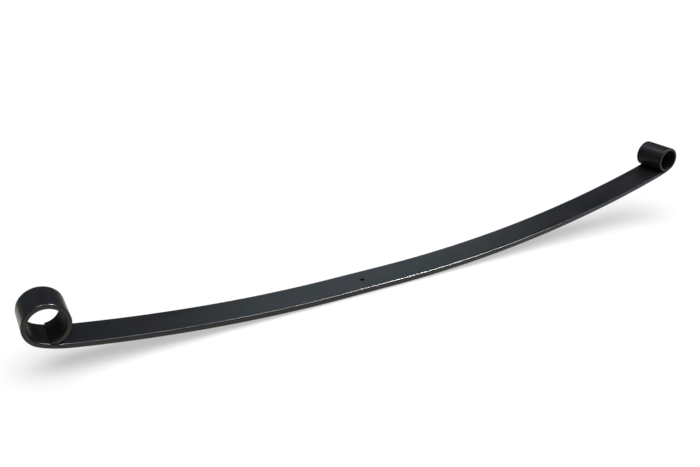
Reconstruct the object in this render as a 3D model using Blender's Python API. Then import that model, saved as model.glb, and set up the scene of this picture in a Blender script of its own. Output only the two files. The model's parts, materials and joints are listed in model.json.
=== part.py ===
"""Main leaf of a vehicle leaf spring: one tapered steel strip with an eye rolled up at each end.

The strip is modelled as a chain of nine zones. The axle seat with the centre-bolt hole is the
fixed zone. Each arm is cut at three flex lines, which stand for the strip's elastic bending, and
ends in its rolled eye. +X runs along the leaf to the small eye, +Y across it, +Z up. The origin
is the bottom centre of the whole leaf, on the plane of the seat's lower face.
"""
import math
from dataclasses import dataclass

import bmesh
import bpy
import numpy as np
from mathutils import Matrix, Vector

# Strip, metres.
LEAF_WIDTH = 0.060
EDGE_ROUNDING = 0.002
ROUNDING_SEGMENTS = 2

# Axle seat: the flat, parallel stretch that the axle's U-bolts clamp.
SEAT_THICKNESS = 0.010
SEAT_HALF_LENGTH = 0.050
CENTRE_HOLE_DIAMETER = 0.008
HOLE_SIDES = 32

# Flex lines: how many cut each arm, and the slot left at each for the bend.
FLEX_LINES_PER_ARM = 3
FLEX_GAP = 0.0012

# Gap between two zones that don't move against each other, and between an eye's tip and the leaf.
FIT_GAP = 0.0003

# Rolled eyes.
EYE_NECK = 0.003
EYE_SIDES = 60
TIP_NOSE_ANGLE = math.radians(31)

# Spacing of the outline's points along the leaf.
ARM_STATION_SPACING = 0.020
ROLL_STATION_SPACING = 0.005

# How finely the middle line and the tips are worked out.
TRACE_STEPS = 1500
FOOT_STEPS = 8
TIP_STEPS = 40
TIP_SEARCH = (math.radians(270), math.radians(360))
ROUND_OFF = 1e-6

# Shading and clean-up of the meshes.
SAME_EDGE = 1e-5
FLAT_ANGLE = math.radians(0.05)
SMOOTH_ANGLE = math.radians(32)
PIVOT_SIZE = 0.02

PAINT_COLOUR = (0.030, 0.032, 0.037, 1.0)
PAINT_ROUGHNESS = 0.38
PAINT_METALLIC = 0.0


@dataclass(frozen=True)
class Arm:
    """One half of the leaf, from the centre hole out to its eye."""

    name: str
    side: int
    length: float
    free_radius: float
    end_thickness: float
    bore_diameter: float
    roll_in_length: float
    roll_in_radius: float
    eye_name: str

    @property
    def eye_start(self):
        """Station where the eye's own zone begins."""
        return self.length - self.bore_diameter / 2 - self.end_thickness - EYE_NECK

    @property
    def flex_stations(self):
        """Stations of the flex lines, in the middle of equal shares of the free arm."""
        share = (self.length - SEAT_HALF_LENGTH) / FLEX_LINES_PER_ARM
        return [SEAT_HALF_LENGTH + share * (index + 0.5) for index in range(FLEX_LINES_PER_ARM)]


SHORT_ARM = Arm(
    name="short_arm",
    side=-1,
    length=0.526,
    free_radius=2.55,
    end_thickness=0.0075,
    bore_diameter=0.051,
    roll_in_length=0.060,
    roll_in_radius=0.105,
    eye_name="large_eye",
)
LONG_ARM = Arm(
    name="long_arm",
    side=1,
    length=0.733,
    free_radius=2.45,
    end_thickness=0.0055,
    bore_diameter=0.039,
    roll_in_length=0.050,
    roll_in_radius=0.135,
    eye_name="small_eye",
)
ZONE_NAMES = ("inner", "middle", "outer")


def curvature(arm, station):
    """Bend of the strip's middle line: none on the seat, an arc, then the lead-in to the eye."""
    roll_in_start = arm.length - arm.roll_in_length
    if station < SEAT_HALF_LENGTH:
        return 0.0
    if station < roll_in_start:
        return 1 / arm.free_radius
    share = (station - roll_in_start) / arm.roll_in_length
    return (1 - share) / arm.free_radius + share / arm.roll_in_radius


def thickness(arm, station):
    """The seat is parallel, and the arm tapers to its end along a parabola."""
    share = max(0.0, (station - SEAT_HALF_LENGTH) / (arm.length - SEAT_HALF_LENGTH))
    return SEAT_THICKNESS - (SEAT_THICKNESS - arm.end_thickness) * share**2


def trace(arm):
    """Stations, positions and heading of the middle line, from the centre hole to the eye."""
    stations = np.linspace(0.0, arm.length, TRACE_STEPS + 1)
    step = arm.length / TRACE_STEPS
    heading = [0.0]
    along = [0.0]
    height = [SEAT_THICKNESS / 2]
    for station in stations[:-1]:
        turn = curvature(arm, station + step / 2) * step
        middle = heading[-1] + turn / 2
        along.append(along[-1] + step * math.cos(middle))
        height.append(height[-1] + step * math.sin(middle))
        heading.append(heading[-1] + turn)
    return stations, np.array(along), np.array(height), np.array(heading)


TRACES = {arm.name: trace(arm) for arm in (SHORT_ARM, LONG_ARM)}


def line_frame(arm, station):
    """Point, outward tangent and upward normal of the middle line, seen in the XZ plane."""
    stations, along, height, heading = TRACES[arm.name]
    angle = float(np.interp(station, stations, heading))
    x = float(np.interp(station, stations, along))
    z = float(np.interp(station, stations, height))
    point = Vector((arm.side * x, z))
    tangent = Vector((arm.side * math.cos(angle), math.sin(angle)))
    normal = Vector((-arm.side * math.sin(angle), math.cos(angle)))
    return point, tangent, normal


def face_point(arm, station, face, gap=0.0):
    """Point on the strip's upper (+1) or lower (-1) face at a station."""
    point, _, normal = line_frame(arm, station)
    return point + normal * face * (thickness(arm, station) / 2 + gap)


def height_over_leaf(arm, point):
    """Station under a point near the leaf, and how far the point is above the upper face."""
    station = arm.length
    for _ in range(FOOT_STEPS):
        base, tangent, normal = line_frame(arm, station)
        station = min(station + (point - base).dot(tangent), arm.length)
    base, _, normal = line_frame(arm, station)
    return station, (point - base).dot(normal) - thickness(arm, station) / 2


def spread(start, end, spacing):
    """Evenly spaced values from start to end, both included."""
    count = max(1, math.ceil(abs(end - start) / spacing - ROUND_OFF))
    return [start + (end - start) * index / count for index in range(count + 1)]


def eye_centre(arm):
    """The bore's axis: its ring touches the leaf's lower face at the arm's end."""
    point, _, normal = line_frame(arm, arm.length)
    return point + normal * (arm.bore_diameter + arm.end_thickness) / 2


def eye_point(arm, radius, angle):
    """Point on a circle about the bore, the angle counted from the bottom and outward."""
    _, tangent, normal = line_frame(arm, arm.length)
    return eye_centre(arm) + radius * (math.sin(angle) * tangent - math.cos(angle) * normal)


def tip_angle(arm):
    """Angle at which the rolled strip's outer face comes down onto the leaf."""
    outer_radius = arm.bore_diameter / 2 + arm.end_thickness
    low, high = TIP_SEARCH
    for _ in range(TIP_STEPS):
        middle = (low + high) / 2
        _, height = height_over_leaf(arm, eye_point(arm, outer_radius, middle))
        low, high = (middle, high) if height > FIT_GAP else (low, middle)
    return low


def zone_outline(arm, start, end):
    """Side view of a stretch of one arm, and its two square-cut ends."""
    stations = spread(start, end, ARM_STATION_SPACING)
    upper = [face_point(arm, station, 1) for station in stations]
    lower = [face_point(arm, station, -1) for station in stations]
    return lower + upper[::-1], [(lower[0], upper[0]), (lower[-1], upper[-1])]


def seat_outline():
    """Side view of the seat zone, which reaches to the first flex line of both arms."""
    ends = []
    upper, lower = [], []
    for arm in (SHORT_ARM, LONG_ARM):
        reach = arm.flex_stations[0] - FLEX_GAP / 2
        stations = spread(SEAT_HALF_LENGTH, reach, ARM_STATION_SPACING)
        if arm.side < 0:
            stations = stations[::-1]
        upper += [face_point(arm, station, 1) for station in stations]
        lower += [face_point(arm, station, -1) for station in stations]
        ends.append((face_point(arm, reach, -1), face_point(arm, reach, 1)))
    return lower + upper[::-1], ends


def eye_outline(arm):
    """Side view of a rolled eye: lead-in, ring, and the tip lying on the leaf's upper face."""
    inner_radius = arm.bore_diameter / 2
    outer_radius = inner_radius + arm.end_thickness
    start = arm.eye_start + FIT_GAP / 2
    stations = spread(start, arm.length, ROLL_STATION_SPACING)
    step = 2 * math.pi / EYE_SIDES

    lower = [face_point(arm, station, -1) for station in stations]
    outer_end = tip_angle(arm)
    outer = [eye_point(arm, outer_radius, angle) for angle in spread(0, outer_end, step)]
    inner_end = 2 * math.pi - TIP_NOSE_ANGLE
    inner = [eye_point(arm, inner_radius, angle) for angle in spread(inner_end, 0, step)]
    heel_station, _ = height_over_leaf(arm, outer[-1])
    nose_station, _ = height_over_leaf(arm, inner[0])
    sole_stations = spread(heel_station, nose_station, ROLL_STATION_SPACING)
    sole = [face_point(arm, station, 1, FIT_GAP) for station in sole_stations]
    upper = [face_point(arm, station, 1) for station in stations]

    outline = lower + outer[1:-1] + sole + inner[:-1] + upper[::-1]
    tip = sole + [inner[0]]
    square_edges = [(lower[0], upper[0])] + list(zip(tip, tip[1:]))
    return outline, square_edges


def add_paint(node_name):
    """Black paint of one zone."""
    paint = bpy.data.materials.new(node_name + "_paint")
    paint.use_nodes = True
    shader = paint.node_tree.nodes["Principled BSDF"]
    shader.inputs["Base Color"].default_value = PAINT_COLOUR
    shader.inputs["Roughness"].default_value = PAINT_ROUGHNESS
    shader.inputs["Metallic"].default_value = PAINT_METALLIC
    return paint


def round_long_edges(mesh, square_edges):
    """Round the strip's long edges, and leave the cut ends square."""
    shape = bmesh.new()
    shape.from_mesh(mesh)
    bmesh.ops.remove_doubles(shape, verts=shape.verts, dist=ROUND_OFF)
    bmesh.ops.dissolve_limit(
        shape, angle_limit=FLAT_ANGLE, verts=shape.verts, edges=shape.edges
    )
    square_middles = [(a + b) / 2 for a, b in square_edges]
    rims = []
    for edge in shape.edges:
        first, second = (vert.co for vert in edge.verts)
        if abs(first.z - second.z) > ROUND_OFF:
            continue
        middle = ((first + second) / 2).to_2d()
        if all((middle - other).length > SAME_EDGE for other in square_middles):
            rims.append(edge)
    bmesh.ops.bevel(
        shape,
        geom=rims,
        offset=EDGE_ROUNDING,
        offset_type="OFFSET",
        segments=ROUNDING_SEGMENTS,
        profile=0.5,
        affect="EDGES",
        clamp_overlap=True,
    )
    bmesh.ops.recalc_face_normals(shape, faces=shape.faces)
    shape.to_mesh(mesh)
    shape.free()


def add_zone(node_name, outline, square_edges, joint, pivot, parts):
    """Extrude one zone's side view across the leaf, with its origin at its joint's pivot."""
    curve = bpy.data.curves.new(node_name + "_outline", "CURVE")
    curve.dimensions = "2D"
    curve.fill_mode = "BOTH"
    curve.extrude = LEAF_WIDTH / 2
    spline = curve.splines.new("POLY")
    spline.points.add(len(outline) - 1)
    spline.use_cyclic_u = True
    for spline_point, place in zip(spline.points, outline):
        spline_point.co = (*(place - pivot), 0.0, 1.0)
    sketch = bpy.data.objects.new(node_name + "_outline", curve)
    parts.objects.link(sketch)
    bpy.context.view_layer.update()
    depsgraph = bpy.context.evaluated_depsgraph_get()
    mesh = bpy.data.meshes.new_from_object(sketch.evaluated_get(depsgraph))
    mesh.name = node_name
    bpy.data.objects.remove(sketch)
    bpy.data.curves.remove(curve)

    round_long_edges(mesh, [(a - pivot, b - pivot) for a, b in square_edges])
    mesh.shade_smooth()
    mesh.set_sharp_from_angle(angle=SMOOTH_ANGLE)
    mesh.materials.clear()
    mesh.materials.append(add_paint(node_name))
    zone = bpy.data.objects.new(node_name, mesh)
    parts.objects.link(zone)
    zone.parent = joint
    zone.rotation_euler = (math.pi / 2, 0.0, 0.0)
    return zone


def add_joint(name, parent, offset, parts):
    """Empty on a flex line's axis, hung on the zone before it."""
    joint = bpy.data.objects.new(name, None)
    joint.empty_display_size = PIVOT_SIZE
    parts.objects.link(joint)
    joint.parent = parent
    joint.location = (offset.x, 0.0, offset.y)
    return joint


def drill_centre_hole(seat, cutters):
    """Hole for the centre bolt, through the seat."""
    cutter_mesh = bpy.data.meshes.new("centre_hole_cutter")
    shape = bmesh.new()
    bmesh.ops.create_cone(
        shape,
        cap_ends=True,
        segments=HOLE_SIDES,
        radius1=CENTRE_HOLE_DIAMETER / 2,
        radius2=CENTRE_HOLE_DIAMETER / 2,
        depth=SEAT_THICKNESS * 3,
        matrix=Matrix.Rotation(math.pi / 2, 4, "X"),
    )
    shape.to_mesh(cutter_mesh)
    shape.free()
    cutter = bpy.data.objects.new("centre_hole_cutter", cutter_mesh)
    cutters.objects.link(cutter)
    cutter.parent = seat
    cutter.hide_render = True
    cutter.display_type = "WIRE"
    cut = seat.modifiers.new("centre_hole", "BOOLEAN")
    cut.operation = "DIFFERENCE"
    cut.solver = "EXACT"
    cut.object = cutter


def add_arm(arm, root, parts):
    """The three zones of an arm and its eye, each hung on the flex line before it."""
    lines = arm.flex_stations
    ends = [line - FLEX_GAP / 2 for line in lines[1:]] + [arm.eye_start - FIT_GAP / 2]
    joint, before = root, Vector((0.0, 0.0))
    for index, (line, end) in enumerate(zip(lines, ends)):
        pivot, _, _ = line_frame(arm, line)
        joint = add_joint(f"{arm.name}_flex_{index + 1}", joint, pivot - before, parts)
        outline, square_edges = zone_outline(arm, line + FLEX_GAP / 2, end)
        node_name = f"{arm.name}_{ZONE_NAMES[index]}"
        add_zone(node_name, outline, square_edges, joint, pivot, parts)
        before = pivot
    outline, square_edges = eye_outline(arm)
    add_zone(arm.eye_name, outline, square_edges, joint, before, parts)


def build():
    """Clear the scene and build the leaf."""
    for old in list(bpy.data.objects):
        bpy.data.objects.remove(old)
    parts = bpy.data.collections.new("leaf_spring")
    cutters = bpy.data.collections.new("cutters")
    bpy.context.scene.collection.children.link(parts)
    bpy.context.scene.collection.children.link(cutters)

    reach = {}
    for arm in (SHORT_ARM, LONG_ARM):
        outer_radius = arm.bore_diameter / 2 + arm.end_thickness
        reach[arm.name] = eye_centre(arm).x + arm.side * outer_radius
    leaf = bpy.data.objects.new("leaf", None)
    leaf.location = (-(reach["short_arm"] + reach["long_arm"]) / 2, 0.0, 0.0)
    parts.objects.link(leaf)

    outline, square_edges = seat_outline()
    seat = add_zone("centre_seat", outline, square_edges, leaf, Vector((0.0, 0.0)), parts)
    drill_centre_hole(seat, cutters)
    add_arm(SHORT_ARM, leaf, parts)
    add_arm(LONG_ARM, leaf, parts)
    bpy.context.view_layer.update()


build()
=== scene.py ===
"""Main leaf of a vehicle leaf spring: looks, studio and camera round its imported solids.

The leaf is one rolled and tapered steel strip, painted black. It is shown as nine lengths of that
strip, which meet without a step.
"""

import json
import math

import bmesh
import bpy
import numpy as np
from mathutils import Matrix, Vector


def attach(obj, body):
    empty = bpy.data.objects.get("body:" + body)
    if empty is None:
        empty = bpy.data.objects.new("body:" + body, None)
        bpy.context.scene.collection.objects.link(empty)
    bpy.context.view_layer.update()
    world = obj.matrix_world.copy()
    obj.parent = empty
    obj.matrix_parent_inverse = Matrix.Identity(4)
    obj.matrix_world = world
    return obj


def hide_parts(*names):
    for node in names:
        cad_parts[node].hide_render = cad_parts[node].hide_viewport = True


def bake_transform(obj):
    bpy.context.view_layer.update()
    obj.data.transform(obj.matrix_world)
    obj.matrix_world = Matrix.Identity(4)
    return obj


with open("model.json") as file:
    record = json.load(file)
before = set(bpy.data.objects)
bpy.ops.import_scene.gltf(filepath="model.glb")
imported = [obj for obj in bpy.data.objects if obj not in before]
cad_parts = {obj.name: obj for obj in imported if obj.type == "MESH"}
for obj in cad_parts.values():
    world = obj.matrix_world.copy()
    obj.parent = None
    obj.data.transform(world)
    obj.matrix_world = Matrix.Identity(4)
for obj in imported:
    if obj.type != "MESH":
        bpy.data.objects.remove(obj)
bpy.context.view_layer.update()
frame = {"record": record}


# Paint. The leaf is shot-peened after its eyes are rolled, then sprayed with satin black chassis
# paint. The film follows the peened surface and pools a little. It is chipped on the edges, rubbed
# matt on them towards both ends, and dull inside the large eye's bore.
class Value:
    """A number that changes over a piece. Arithmetic on it adds Math nodes to its tree."""

    def __init__(self, tree, socket):
        self.tree = tree
        self.socket = socket

    def math(self, operation, *values):
        """What a Math node makes of these values, in this value's tree."""
        inputs = dict(enumerate(values))
        return self.tree.add("ShaderNodeMath", {"operation": operation}, inputs)["Value"]

    def __add__(self, other):
        return self.math("ADD", self, other)

    def __radd__(self, other):
        return self.math("ADD", other, self)

    def __sub__(self, other):
        return self.math("SUBTRACT", self, other)

    def __rsub__(self, other):
        return self.math("SUBTRACT", other, self)

    def __mul__(self, other):
        return self.math("MULTIPLY", self, other)

    def __rmul__(self, other):
        return self.math("MULTIPLY", other, self)

    def __truediv__(self, other):
        return self.math("DIVIDE", self, other)

    def __rtruediv__(self, other):
        return self.math("DIVIDE", other, self)

    def __gt__(self, other):
        return self.math("GREATER_THAN", self, other)

    def __abs__(self):
        return self.math("ABSOLUTE", self)


class Made:
    """A node that was added, with its outputs by name."""

    def __init__(self, tree, node):
        self.tree = tree
        self.node = node

    def __getitem__(self, name):
        for socket in self.node.outputs:
            if socket.enabled and name in (socket.name, socket.identifier):
                return Value(self.tree, socket)
        raise KeyError(name)


class Tree:
    """A node tree that is written as calls."""

    def __init__(self, tree):
        self.tree = tree

    def add(self, kind, settings=None, inputs=None):
        """Adds a node, with its settings first, then the values or links of its inputs."""
        node = self.tree.nodes.new(kind)
        for name, value in (settings or {}).items():
            setattr(node, name, value)
        for name, value in (inputs or {}).items():
            socket = self.find(node, name)
            if isinstance(value, Value):
                self.tree.links.new(value.socket, socket)
            else:
                socket.default_value = value
        return Made(self, node)

    def find(self, node, name):
        if isinstance(name, int):
            return node.inputs[name]
        for socket in node.inputs:
            if socket.enabled and name in (socket.name, socket.identifier):
                return socket
        raise KeyError(name)


PAINT_DEEP = (0.0055, 0.0060, 0.0075, 1.0)
PAINT_WARM = (0.0125, 0.0108, 0.0150, 1.0)
PAINT_COOL = (0.0085, 0.0128, 0.0125, 1.0)
PAINT_ROUGHNESS = 0.22
PAINT_IOR = 1.5
MATT_FILM = (0.0065, 0.0068, 0.0052, 1.0)
MATT_ROUGHNESS = 0.55
MATT_IOR = 1.2
DUST = (0.11, 0.108, 0.10, 1.0)
BARE_STEEL = (0.20, 0.20, 0.205, 1.0)
NICK_STEEL = (0.42, 0.42, 0.44, 1.0)
NICK_PLACE = (-0.017, -0.0268, 0.0050)
NICK_INNER, NICK_OUTER = 0.0008, 0.0019
SCUFFS_START, SCUFFS_FULL = 0.019, 0.025
RELIEF_DEPTH = 0.00006
RELIEF_STRENGTH = 0.55

paint = bpy.data.materials.new("black_paint")
paint.use_nodes = True
paint.node_tree.nodes.clear()
coat = Tree(paint.node_tree)
place = coat.add("ShaderNodeAttribute", {"attribute_name": "strip_place"})["Vector"]
edge = coat.add("ShaderNodeAttribute", {"attribute_name": "strip_edge"})["Fac"]
bore = coat.add("ShaderNodeAttribute", {"attribute_name": "strip_bore"})["Fac"]


def scaled(spot, scale):
    """A place with each axis scaled, to stretch or squeeze a pattern."""
    settings = {"operation": "MULTIPLY"}
    return spot.tree.add("ShaderNodeVectorMath", settings, {0: spot, 1: scale})["Vector"]


def noise(spot, scale, detail, roughness=0.5):
    inputs = {"Vector": spot, "Scale": scale, "Detail": detail, "Roughness": roughness}
    return spot.tree.add("ShaderNodeTexNoise", {"noise_dimensions": "3D"}, inputs)["Fac"]


def ramp(value, low, high):
    """0 below low, 1 above high, eased between."""
    settings = {"interpolation_type": "SMOOTHSTEP"}
    inputs = {"Value": value, "From Min": low, "From Max": high}
    return value.tree.add("ShaderNodeMapRange", settings, inputs)["Result"]


def mixed(factor, first, second):
    inputs = {"Factor_Float": factor, "A_Color": first, "B_Color": second}
    return factor.tree.add("ShaderNodeMix", {"data_type": "RGBA"}, inputs)["Result_Color"]


# Patterns over the strip. Those that rolling or running paint drew out are long in X.
pooling = noise(scaled(place, (9.0, 30.0, 30.0)), 1.0, 3.0)
rolling = noise(scaled(place, (14.0, 900.0, 900.0)), 1.0, 4.0, 0.65)
grain = noise(place, 1100.0, 3.0, 0.6)
peel = noise(place, 420.0, 2.0)
cells = coat.add("ShaderNodeTexVoronoi", {"feature": "SMOOTH_F1"},
                 {"Vector": place, "Scale": 900.0, "Smoothness": 0.6})["Distance"]
specks = ramp(noise(place, 2300.0, 1.0), 0.73, 0.78)
chips = ramp(noise(place, 260.0, 4.0, 0.7) + edge * 0.10, 0.715, 0.735) * edge
from_nick = coat.add("ShaderNodeVectorMath", {"operation": "DISTANCE"},
                     {0: place, 1: NICK_PLACE})["Value"]
nick = 1.0 - ramp(from_nick, NICK_INNER, NICK_OUTER)
place_parts = coat.add("ShaderNodeSeparateXYZ", {}, {"Vector": place})
beside_edge = ramp(abs(place_parts["Y"]), SCUFFS_START, SCUFFS_FULL)
scuffs = ramp(noise(scaled(place, (110.0, 420.0, 420.0)), 1.0, 3.0, 0.6), 0.62, 0.70) * beside_edge
rubbed_short_arm = ramp(place_parts["X"] * -1.0, 0.02, 0.34) * 0.20
rubbed_long_arm = ramp(place_parts["X"], 0.04, 0.48) * 1.12
rubbed = (rubbed_short_arm + rubbed_long_arm) * edge
rubbed = rubbed.math("MINIMUM", rubbed, 1.0)

# Colour, from the film up to what shows bare steel, then the relief of the peened surface.
cast = noise(scaled(place, (11.0, 24.0, 24.0)), 1.0, 2.0)
thin = mixed(ramp(cast, 0.36, 0.64), PAINT_WARM, PAINT_COOL)
tone = mixed(ramp(pooling * 0.55 + rolling * 0.45, 0.30, 0.62), PAINT_DEEP, thin)
tone = mixed(specks * 0.35, tone, DUST)
tone = mixed(scuffs * 0.10, tone, BARE_STEEL)
tone = mixed(chips * 0.6, tone, BARE_STEEL)
tone = mixed(nick, tone, NICK_STEEL)
relief = peel * 0.5 + grain * 0.18 + cells * 0.5 + rolling * 0.06
bump = coat.add("ShaderNodeBump", {}, {
    "Strength": RELIEF_STRENGTH,
    "Distance": RELIEF_DEPTH,
    "Height": relief - chips * 0.9,
})["Normal"]
satin = coat.add("ShaderNodeBsdfPrincipled", {}, {
    "Base Color": tone,
    "Roughness": PAINT_ROUGHNESS + (pooling - 0.5) * 0.22 + (rolling - 0.5) * 0.04 + specks * 0.2,
    "Metallic": chips * 0.7,
    "Normal": bump,
    "IOR": PAINT_IOR,
})["BSDF"]
matt = coat.add("ShaderNodeBsdfPrincipled", {}, {
    "Base Color": MATT_FILM,
    "Roughness": MATT_ROUGHNESS,
    "Normal": bump,
    "IOR": MATT_IOR,
})["BSDF"]
covered = coat.add("ShaderNodeMixShader", {}, {
    "Fac": bore.math("MAXIMUM", bore, rubbed), 1: satin, 2: matt})["Shader"]
coat.add("ShaderNodeOutputMaterial", {}, {"Surface": covered})


# Rolled strip. Flat bar with rounded edges is tapered hot along a parabola from the seat to each
# end, bent to its camber, and its ends are wrapped on a mandrel into eyes. One tree makes any
# length of it: a straight bar is drawn from station to station, then laid along the middle line.
WIDTH = 0.060
EDGE_ROUNDING = 0.0022
SEAT_THICKNESS = 0.010
SEAT_HALF_LENGTH = 0.050
LINE_SPACING = 0.0005
ARC_POINTS = 8
SUPPORT_DISTANCE = 0.0004
ROUND_OFF = 0.0001
CONTACT_GAP = 0.00015
NOSE_REACH = 0.0016
EDGE_BAND = 1.3 * EDGE_ROUNDING
BORE_FADE = 0.004
DULLEST_LENGTH = 0.075
DULLEST_FADE = 0.025

strip_group = bpy.data.node_groups.new("rolled_strip", "GeometryNodeTree")
strip_group.interface.new_socket(name="Strip", in_out="OUTPUT", socket_type="NodeSocketGeometry")
SIZES = ("Side", "From", "To", "Spacing", "Arm length", "Free radius", "Lead-in length",
         "Lead-in radius", "End thickness", "Bore", "Strip end", "Hole place")
for size_name in SIZES:
    strip_group.interface.new_socket(
        name=size_name, in_out="INPUT", socket_type="NodeSocketFloat")
strip_group.interface.new_socket(name="Paint", in_out="INPUT", socket_type="NodeSocketMaterial")
strip = Tree(strip_group)
size = strip.add("NodeGroupInput")
side, arm_length = size["Side"], size["Arm length"]


def clamped(value):
    return strip.add("ShaderNodeClamp", {}, {"Value": value})["Result"]


def bend_at(station):
    """Curvature of the middle line: flat seat, arc, lead-in, then the ring of the eye."""
    arc = (station > SEAT_HALF_LENGTH) * (1.0 / size["Free radius"])
    share = clamped((station - (arm_length - size["Lead-in length"])) / size["Lead-in length"])
    lead_in = share * (1.0 / size["Lead-in radius"] - 1.0 / size["Free radius"])
    ring = 2.0 / (size["Bore"] + size["End thickness"]) - 1.0 / size["Lead-in radius"]
    return arc + lead_in + (station > arm_length) * ring


def thickness_at(station):
    share = clamped((station - SEAT_HALF_LENGTH) / (arm_length - SEAT_HALF_LENGTH))
    return SEAT_THICKNESS - (SEAT_THICKNESS - size["End thickness"]) * share * share


def running_total(value):
    """Sum of a value over the points before each point."""
    return strip.add("GeometryNodeAccumulateField", {}, {"Value": value})["Trailing"]


def cosine(angle):
    return angle.math("COSINE", angle)


def sine(angle):
    return angle.math("SINE", angle)


def vector(x, y, z):
    return strip.add("ShaderNodeCombineXYZ", {}, {"X": x, "Y": y, "Z": z})["Vector"]


def parts_of(value):
    split = strip.add("ShaderNodeSeparateXYZ", {}, {"Vector": value})
    return split["X"], split["Y"], split["Z"]


def drawn_line(start, end, spacing):
    """Straight line along X with evenly spaced points."""
    count = (end - start) / spacing
    count = count.math("CEIL", count) + 1.0
    line = strip.add("GeometryNodeCurvePrimitiveLine", {},
                     {"Start": vector(start, 0.0, 0.0), "End": vector(end, 0.0, 0.0)})["Curve"]
    line = strip.add("GeometryNodeResampleCurve", {"mode": "COUNT"},
                     {"Curve": line, "Count": count})["Curve"]
    return line, count


# The middle line starts at the seat's far edge, so that the seat is a length of it too.
line_end = size["Strip end"] + NOSE_REACH
flat_line, line_count = drawn_line(-SEAT_HALF_LENGTH, line_end, LINE_SPACING)
line_step = (line_end + SEAT_HALF_LENGTH) / (line_count - 1.0)
point_index = strip.add("GeometryNodeInputIndex")["Index"]
turn = bend_at((point_index + 0.5) * line_step - SEAT_HALF_LENGTH) * line_step
half_way = running_total(turn) + turn * 0.5
line_x = running_total(cosine(half_way) * line_step) - SEAT_HALF_LENGTH
line_z = running_total(sine(half_way) * line_step) + SEAT_THICKNESS / 2
middle_line = strip.add("GeometryNodeSetPosition", {}, {
    "Geometry": flat_line,
    "Position": vector(side * line_x + size["Hole place"], 0.0, line_z),
})["Geometry"]

# Section of the bar: four rounded corners, each with a point a little along both faces.
CORNER_POINTS = ARC_POINTS + 3
circle = strip.add("GeometryNodeCurvePrimitiveCircle", {"mode": "RADIUS"},
                   {"Resolution": 4 * CORNER_POINTS, "Radius": 1.0})["Curve"]
corner = point_index / CORNER_POINTS
corner = corner.math("FLOOR", corner + ROUND_OFF)
along_corner = point_index - corner * CORNER_POINTS
swing = (clamped((along_corner - 1.0) / ARC_POINTS) + corner) * (math.pi / 2)
slide = (along_corner > CORNER_POINTS - 1.5) - (1.0 - (along_corner > 0.5))
slide = slide * SUPPORT_DISTANCE
centre_angle = (corner + 0.5) * (math.pi / 2)
across_sign = cosine(centre_angle).math("SIGN", cosine(centre_angle))
height_sign = sine(centre_angle).math("SIGN", sine(centre_angle))
section_y = (across_sign * (WIDTH / 2 - EDGE_ROUNDING) + cosine(swing) * EDGE_ROUNDING
             - sine(swing) * slide)
section_z = (height_sign * (size["End thickness"] / 2 - EDGE_ROUNDING)
             + sine(swing) * EDGE_ROUNDING + cosine(swing) * slide)
section = strip.add("GeometryNodeSetPosition", {},
                    {"Geometry": circle, "Position": vector(section_y, section_z, 0.0)})["Geometry"]


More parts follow.
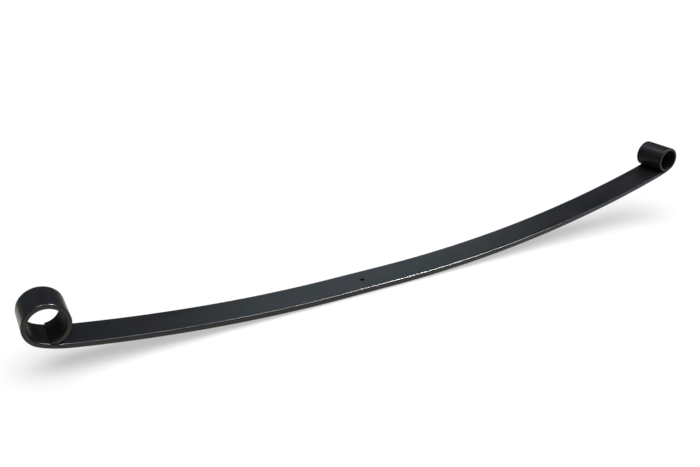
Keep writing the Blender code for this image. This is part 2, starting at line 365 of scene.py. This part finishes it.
def laid_strip(start, end, resting_on=None):
    """A length of the bar, laid along the middle line, with its tip pressed onto the leaf."""
    path, _ = drawn_line(start, end, size["Spacing"])
    path = strip.add("GeometryNodeSetCurveNormal", {"mode": "Z_UP"}, {"Curve": path})["Curve"]
    bar = strip.add("GeometryNodeCurveToMesh", {},
                    {"Curve": path, "Profile Curve": section, "Fill Caps": True})["Mesh"]
    here = strip.add("GeometryNodeInputPosition")["Position"]
    station, across, height = parts_of(here)
    upper = height.math("SIGN", height)
    thickness = thickness_at(station)
    height = height + upper * (thickness - size["End thickness"]) / 2.0
    # The tip's resting side reaches further, so that its end stands square on the leaf.
    near_tip = clamped((station - size["Strip end"]) / (2.0 * NOSE_REACH) + 1.0)
    station = station + near_tip * (0.5 - height / thickness) * NOSE_REACH
    sample = strip.add("GeometryNodeSampleCurve", {"mode": "LENGTH", "data_type": "FLOAT"}, {
        "Curves": middle_line, "Length": station + SEAT_HALF_LENGTH})
    tangent_x, _, tangent_z = parts_of(sample["Tangent"])
    normal = vector(tangent_z * side * -1.0, 0.0, tangent_x * side)

    def off_line(distance):
        moved = strip.add("ShaderNodeVectorMath", {"operation": "SCALE"},
                          {"Vector": normal, "Scale": distance})["Vector"]
        return strip.add("ShaderNodeVectorMath", {"operation": "ADD"},
                         {0: sample["Position"], 1: moved})["Vector"]

    pressed = height
    if resting_on is not None:
        outward = strip.add("ShaderNodeVectorMath", {"operation": "SCALE"},
                            {"Vector": normal, "Scale": -1.0})["Vector"]
        hit = strip.add("GeometryNodeRaycast", {"data_type": "FLOAT"}, {
            "Target Geometry": resting_on, "Source Position": off_line(thickness / 2.0),
            "Ray Direction": outward, "Ray Length": thickness * 2.0})
        room = (hit["Hit Distance"] - CONTACT_GAP) / thickness
        room = room.math("MINIMUM", room, 1.0)
        on_ring = (station > arm_length + size["Bore"]) * hit["Is Hit"]
        press = 1.0 - on_ring * (1.0 - room)
        pressed = thickness / 2.0 - (thickness / 2.0 - height) * press

    # What the paint reads: the rounded edges, the large eye's dull bore, and the place.
    near_side = (abs(across) - (WIDTH / 2 - EDGE_BAND)) / EDGE_ROUNDING
    near_face = (abs(height) - (thickness / 2.0 - EDGE_BAND)) / EDGE_ROUNDING
    edge_share = clamped(near_side) * clamped(near_face)
    in_eye = clamped((station - (arm_length - 0.3 * size["Bore"])) / BORE_FADE)
    inner_face = clamped(height / thickness * 4.0 - 0.9)
    at_large_eye = 1.0 - (side > 0.0)
    dullest = clamped((station - size["Strip end"] + DULLEST_LENGTH) / DULLEST_FADE)
    bore_share = in_eye * inner_face * at_large_eye * (dullest * 0.4 + 0.6)
    place_on_strip = vector(station * side, across * side, height)
    for attribute, kind, value in (("strip_edge", "FLOAT", edge_share),
                                   ("strip_bore", "FLOAT", bore_share),
                                   ("strip_place", "FLOAT_VECTOR", place_on_strip)):
        bar = strip.add("GeometryNodeStoreNamedAttribute", {"data_type": kind, "domain": "POINT"},
                        {"Geometry": bar, "Name": attribute, "Value": value})["Geometry"]
    sideways = vector(0.0, across * side, 0.0)
    laid = strip.add("ShaderNodeVectorMath", {"operation": "ADD"},
                     {0: off_line(pressed), 1: sideways})["Vector"]
    return strip.add("GeometryNodeSetPosition", {},
                     {"Geometry": bar, "Position": laid})["Geometry"]


under_tip = laid_strip(arm_length - size["Bore"], arm_length)
whole = laid_strip(size["From"], size["To"], under_tip)
whole = strip.add("GeometryNodeRealizeInstances", {}, {"Geometry": whole})["Geometry"]
whole = strip.add("GeometryNodeSetMaterial", {},
                  {"Geometry": whole, "Material": size["Paint"]})["Geometry"]
strip.add("NodeGroupOutput", {}, {"Strip": whole})

holes = frame["record"]["physics"]["openings"]
hole_box = next(hole["box_m"] for hole in holes if hole["name"] == "centre_bolt_hole")
HOLE_X = (hole_box[0][0] + hole_box[1][0]) / 2
SMOOTH_ANGLE = math.radians(30)


def make_strip(name, arm, start, end, spacing):
    """A length of the strip as a plain mesh."""
    holder = bpy.data.objects.new(name + "_tree", bpy.data.meshes.new(name + "_tree"))
    bpy.context.scene.collection.objects.link(holder)
    layer = holder.modifiers.new("strip", "NODES")
    layer.node_group = strip_group
    sizes = dict(arm, **{"From": start, "To": end, "Spacing": spacing, "Hole place": HOLE_X})
    for socket in strip_group.interface.items_tree:
        if socket.in_out == "INPUT":
            value = paint if socket.name == "Paint" else float(sizes[socket.name])
            layer[socket.identifier] = value
    bpy.context.view_layer.update()
    ready = holder.evaluated_get(bpy.context.evaluated_depsgraph_get())
    mesh = bpy.data.meshes.new_from_object(ready)
    mesh.name = name
    bpy.data.objects.remove(holder)
    mesh.shade_smooth()
    mesh.set_sharp_from_angle(angle=SMOOTH_ANGLE)
    piece = bpy.data.objects.new(name, mesh)
    bpy.context.scene.collection.objects.link(piece)
    return piece


# Axle seat. The flat middle of the leaf, which the axle's U-bolts clamp. Its centre-bolt hole is
# punched hot and lightly countersunk on both faces, and the paint runs over the countersinks.
SHORT = {"Side": -1, "Arm length": 0.526, "Free radius": 2.55, "Lead-in length": 0.060,
         "Lead-in radius": 0.105, "End thickness": 0.0075, "Bore": 0.051}
LONG = {"Side": 1, "Arm length": 0.733, "Free radius": 2.45, "Lead-in length": 0.050,
        "Lead-in radius": 0.135, "End thickness": 0.0055, "Bore": 0.039}
NOSE_ANGLE = math.radians(31)
EYE_NECK = 0.003
for arm in (SHORT, LONG):
    ring_turn = 2 * math.pi - NOSE_ANGLE
    arm["Strip end"] = arm["Arm length"] + ring_turn * (arm["Bore"] + arm["End thickness"]) / 2
    arm["Eye start"] = arm["Arm length"] - arm["Bore"] / 2 - arm["End thickness"] - EYE_NECK

HOLE_RADIUS = 0.004
COUNTERSINK = 0.00025
HOLE_SIDES = 48
SEAT_SPACING = 0.004

seat = make_strip("axle_seat", LONG, -SEAT_HALF_LENGTH, SEAT_HALF_LENGTH, SEAT_SPACING)
drill_mesh = bpy.data.meshes.new("centre_drill")
drill = bmesh.new()
low, high = -COUNTERSINK, SEAT_THICKNESS + COUNTERSINK
rings = []
for height, radius in ((low, HOLE_RADIUS + 2 * COUNTERSINK), (-low, HOLE_RADIUS),
                       (SEAT_THICKNESS - COUNTERSINK, HOLE_RADIUS),
                       (high, HOLE_RADIUS + 2 * COUNTERSINK)):
    angles = [2 * math.pi * index / HOLE_SIDES for index in range(HOLE_SIDES)]
    rings.append([drill.verts.new((HOLE_X + radius * math.cos(angle), radius * math.sin(angle),
                                   height)) for angle in angles])
for below, above in zip(rings, rings[1:]):
    for index in range(HOLE_SIDES):
        after = (index + 1) % HOLE_SIDES
        drill.faces.new((below[index], below[after], above[after], above[index]))
drill.faces.new(rings[0][::-1])
drill.faces.new(rings[-1])
drill.to_mesh(drill_mesh)
drill.free()
drill_object = bpy.data.objects.new("centre_drill", drill_mesh)
bpy.context.scene.collection.objects.link(drill_object)
cut = seat.modifiers.new("centre_hole", "BOOLEAN")
cut.operation = "DIFFERENCE"
cut.solver = "EXACT"
cut.object = drill_object
bpy.context.view_layer.update()
undrilled = seat.data
seat.data = bpy.data.meshes.new_from_object(
    seat.evaluated_get(bpy.context.evaluated_depsgraph_get()))
seat.modifiers.clear()
bpy.data.objects.remove(drill_object)
bpy.data.meshes.remove(undrilled)
seat.data.name = "axle_seat"
seat.data.materials.clear()
seat.data.materials.append(paint)
seat.data.shade_smooth()
seat.data.set_sharp_from_angle(angle=SMOOTH_ANGLE)
spots = np.array([vertex.co for vertex in seat.data.vertices]) - (HOLE_X, 0, SEAT_THICKNESS / 2)
seat.data.attributes["strip_place"].data.foreach_set("vector", spots.astype(np.float32).ravel())
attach(seat, "seat")
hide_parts("centre_seat")


# Arms. The tapered steel between the seat and the eyes bends as one spring. Each arm is drawn as
# three lengths of it.
ARM_ZONES = ("inner", "middle", "outer")
ARM_SPACING = 0.004
LINE_STEPS = 2000


def middle_point(arm, station):
    """Where the middle line is at a station."""
    each = station / LINE_STEPS
    heading, x, z = 0.0, 0.0, SEAT_THICKNESS / 2
    for index in range(LINE_STEPS):
        s = (index + 0.5) * each
        lead = min(max((s - arm["Arm length"] + arm["Lead-in length"]) / arm["Lead-in length"],
                       0.0), 1.0)
        bend = (1 - lead) / arm["Free radius"] + lead / arm["Lead-in radius"]
        turned = bend * each if s > SEAT_HALF_LENGTH else 0.0
        x += each * math.cos(heading + turned / 2)
        z += each * math.sin(heading + turned / 2)
        heading += turned
    return Vector((HOLE_X + arm["Side"] * x, 0.0, z))


for arm, side_name in ((SHORT, "short"), (LONG, "long")):
    share = (arm["Arm length"] - SEAT_HALF_LENGTH) / len(ARM_ZONES)
    cuts = [SEAT_HALF_LENGTH, SEAT_HALF_LENGTH + share, SEAT_HALF_LENGTH + 2 * share,
            arm["Eye start"]]
    for index, zone in enumerate(ARM_ZONES):
        start, end = cuts[index], cuts[index + 1]
        length = make_strip(f"{side_name}_arm_{zone}_length", arm, start, end, ARM_SPACING)
        middle_point(arm, start)
        middle_point(arm, end)
        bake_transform(length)
        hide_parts(f"{side_name}_arm_{zone}")


# Eyes. Each end is wrapped up and round a mandrel, until its tip, which is scarfed to a wedge,
# lies on the leaf's upper face. The bore takes the bush of the hanger or of the shackle.
EYE_SPACING = 0.0015
for arm, side_name, eye_name in ((SHORT, "short", "large_eye"), (LONG, "long", "small_eye")):
    eye = make_strip(eye_name + "_rolled", arm, arm["Eye start"], arm["Strip end"], EYE_SPACING)
    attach(eye, f"{side_name}_end")
    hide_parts(eye_name)


# Studio. A pale floor just under the leaf, a pale backdrop and broad soft light from overhead. The
# other lamps only draw shine: one the bright line along the rounded edge, the rest the soft sheens
# of the eyes. What the floor sends back to the leaf is painted shade and light: the camera sees
# the floor evenly pale, but in the leaf's reflections it is olive-grey, near white to the leaf's
# right and dark behind it.
FLOOR_DROP = 0.0015
FLOOR_REACH = 40
FLOOR_COLOUR = (0.90, 0.90, 0.90, 1.0)
# Painted shade and light of the floor in the leaf's reflections: olive-grey, near white to the
# right, dark behind.
FLOOR_REFLECTED_SHADE = (0.60, 0.60, 0.53, 1.0)
FLOOR_REFLECTED_LIGHT_RIGHT = (0.92, 0.92, 0.96, 1.0)
FLOOR_REFLECTED_SHADE_FAR = (0.10, 0.10, 0.095, 1.0)
FLOOR_GLOW = 0.5
FLOOR_BRIGHTNESS = 1.1
AWAY_FROM_CAMERA = (0.25, 0.968, 0.0)
DOME = (0.84, 0.89, 1.0, 1.0)
DOME_STRENGTH = 0.075
BACKDROP_STRENGTH = 1.05
floor_material = bpy.data.materials.new("studio_floor")
floor_material.use_nodes = True
floor_material.node_tree.nodes.clear()
ground = Tree(floor_material.node_tree)
seen = ground.add("ShaderNodeLightPath")["Is Camera Ray"]
spot = ground.add("ShaderNodeTexCoord")["Object"]
depth = ground.add("ShaderNodeVectorMath", {"operation": "DOT_PRODUCT"},
                   {0: spot, 1: AWAY_FROM_CAMERA})["Value"]
along = ground.add("ShaderNodeSeparateXYZ", {}, {"Vector": spot})["X"]
# Painted shade for the leaf's reflections: bounce rays see the floor olive-grey at the left, near
# white at the right and dark behind the leaf; the camera sees it evenly pale.
reflected_floor_shade = mixed(ramp(along, -0.1, 0.7), FLOOR_REFLECTED_SHADE, FLOOR_REFLECTED_LIGHT_RIGHT)
reflected_floor_shade = mixed(ramp(depth, 0.0, 0.32), reflected_floor_shade, FLOOR_REFLECTED_SHADE_FAR)
shown = mixed(seen, reflected_floor_shade, FLOOR_COLOUR)
paper = ground.add("ShaderNodeBsdfDiffuse", {}, {"Color": shown})["BSDF"]
glow = ground.add("ShaderNodeEmission", {},
                  {"Color": FLOOR_COLOUR, "Strength": FLOOR_BRIGHTNESS})["Emission"]
lit_paper = ground.add("ShaderNodeMixShader", {}, {"Fac": seen * FLOOR_GLOW, 1: paper, 2: glow})
ground.add("ShaderNodeOutputMaterial", {}, {"Surface": lit_paper["Shader"]})
corners = [(x * FLOOR_REACH, y * FLOOR_REACH, -FLOOR_DROP)
           for x, y in ((-1, -1), (1, -1), (1, 1), (-1, 1))]
floor_mesh = bpy.data.meshes.new("studio_floor")
floor_mesh.from_pydata(corners, [], [(0, 1, 2, 3)])
floor_mesh.materials.append(floor_material)
floor = bpy.data.objects.new("studio_floor", floor_mesh)
bpy.context.scene.collection.objects.link(floor)

world = bpy.data.worlds.new("studio")
world.use_nodes = True
world.node_tree.nodes.clear()
sky = Tree(world.node_tree)
dome = sky.add("ShaderNodeBackground", {}, {"Color": DOME, "Strength": DOME_STRENGTH})
backdrop = sky.add("ShaderNodeBackground", {},
                   {"Color": FLOOR_COLOUR, "Strength": BACKDROP_STRENGTH})
in_view = sky.add("ShaderNodeLightPath")["Is Camera Ray"]
around = sky.add("ShaderNodeMixShader", {},
                 {"Fac": in_view, 1: dome["Background"], 2: backdrop["Background"]})
sky.add("ShaderNodeOutputWorld", {}, {"Surface": around["Shader"]})
bpy.context.scene.world = world


def add_lamp(name, bearing, height, strength, spread, colour, matt=True, gloss=True):
    """A far, round light. Bearing runs from +Y towards +X, and its angles are in degrees."""
    lamp = bpy.data.lights.new(name, "SUN")
    lamp.energy = strength
    lamp.angle = math.radians(spread)
    lamp.color = colour
    holder = bpy.data.objects.new(name, lamp)
    azimuth, lift = math.radians(bearing), math.radians(height)
    towards = Vector((math.cos(lift) * math.sin(azimuth), math.cos(lift) * math.cos(azimuth),
                      math.sin(lift)))
    holder.rotation_euler = towards.to_track_quat("Z", "Y").to_euler()
    holder.visible_diffuse = matt
    holder.visible_glossy = gloss
    bpy.context.scene.collection.objects.link(holder)


add_lamp("overhead_light", 180, 81.5, 3.7, 80, (1.0, 1.0, 1.0), gloss=False)
add_lamp("overhead_sheen", 180, 81.5, 0.5, 72, (0.96, 0.97, 1.0), matt=False)
add_lamp("edge_light", 110, 56.3, 6.0, 4, (0.97, 0.97, 1.0), matt=False)
add_lamp("back_panel", 30.3, 28.7, 0.032, 16, (0.74, 0.90, 1.0), matt=False)
add_lamp("side_panel", -28, 47, 0.09, 42, (0.95, 0.93, 1.0), matt=False)
add_lamp("rim_light", -24, 60, 0.12, 14, (0.93, 0.92, 1.0), matt=False)
add_lamp("arc_light", -14, 76.7, 1.9, 14, (0.96, 0.95, 1.0), matt=False)
add_lamp("front_panel", 212, 30, 0.12, 44, (0.94, 0.96, 1.0), matt=False)


# Camera. It stands above the leaf and nearer to the large eye, so that the long arm runs away from
# it to the right.
CAMERA_PLACE = (-0.67156, -0.96710, 0.60466)
CAMERA_RIGHT = (0.871679, -0.490013, 0.007949)
CAMERA_FORWARD = (0.449458, 0.792860, -0.411535)
FOCAL_LENGTH = 37.79
SENSOR_WIDTH = 36.0
camera_data = bpy.data.cameras.new("camera")
camera_data.sensor_fit = "HORIZONTAL"
camera_data.sensor_width = SENSOR_WIDTH
camera_data.lens = FOCAL_LENGTH
camera_data.clip_start = 0.01
camera_data.clip_end = 200.0
camera = bpy.data.objects.new("camera", camera_data)
right = Vector(CAMERA_RIGHT).normalized()
forward = Vector(CAMERA_FORWARD).normalized()
up = right.cross(forward)
axes = Matrix((right, up, -forward)).transposed()
camera.matrix_world = Matrix.Translation(CAMERA_PLACE) @ axes.to_4x4()
bpy.context.scene.collection.objects.link(camera)
bpy.context.scene.camera = camera
bpy.context.scene.view_settings.view_transform = "Standard"
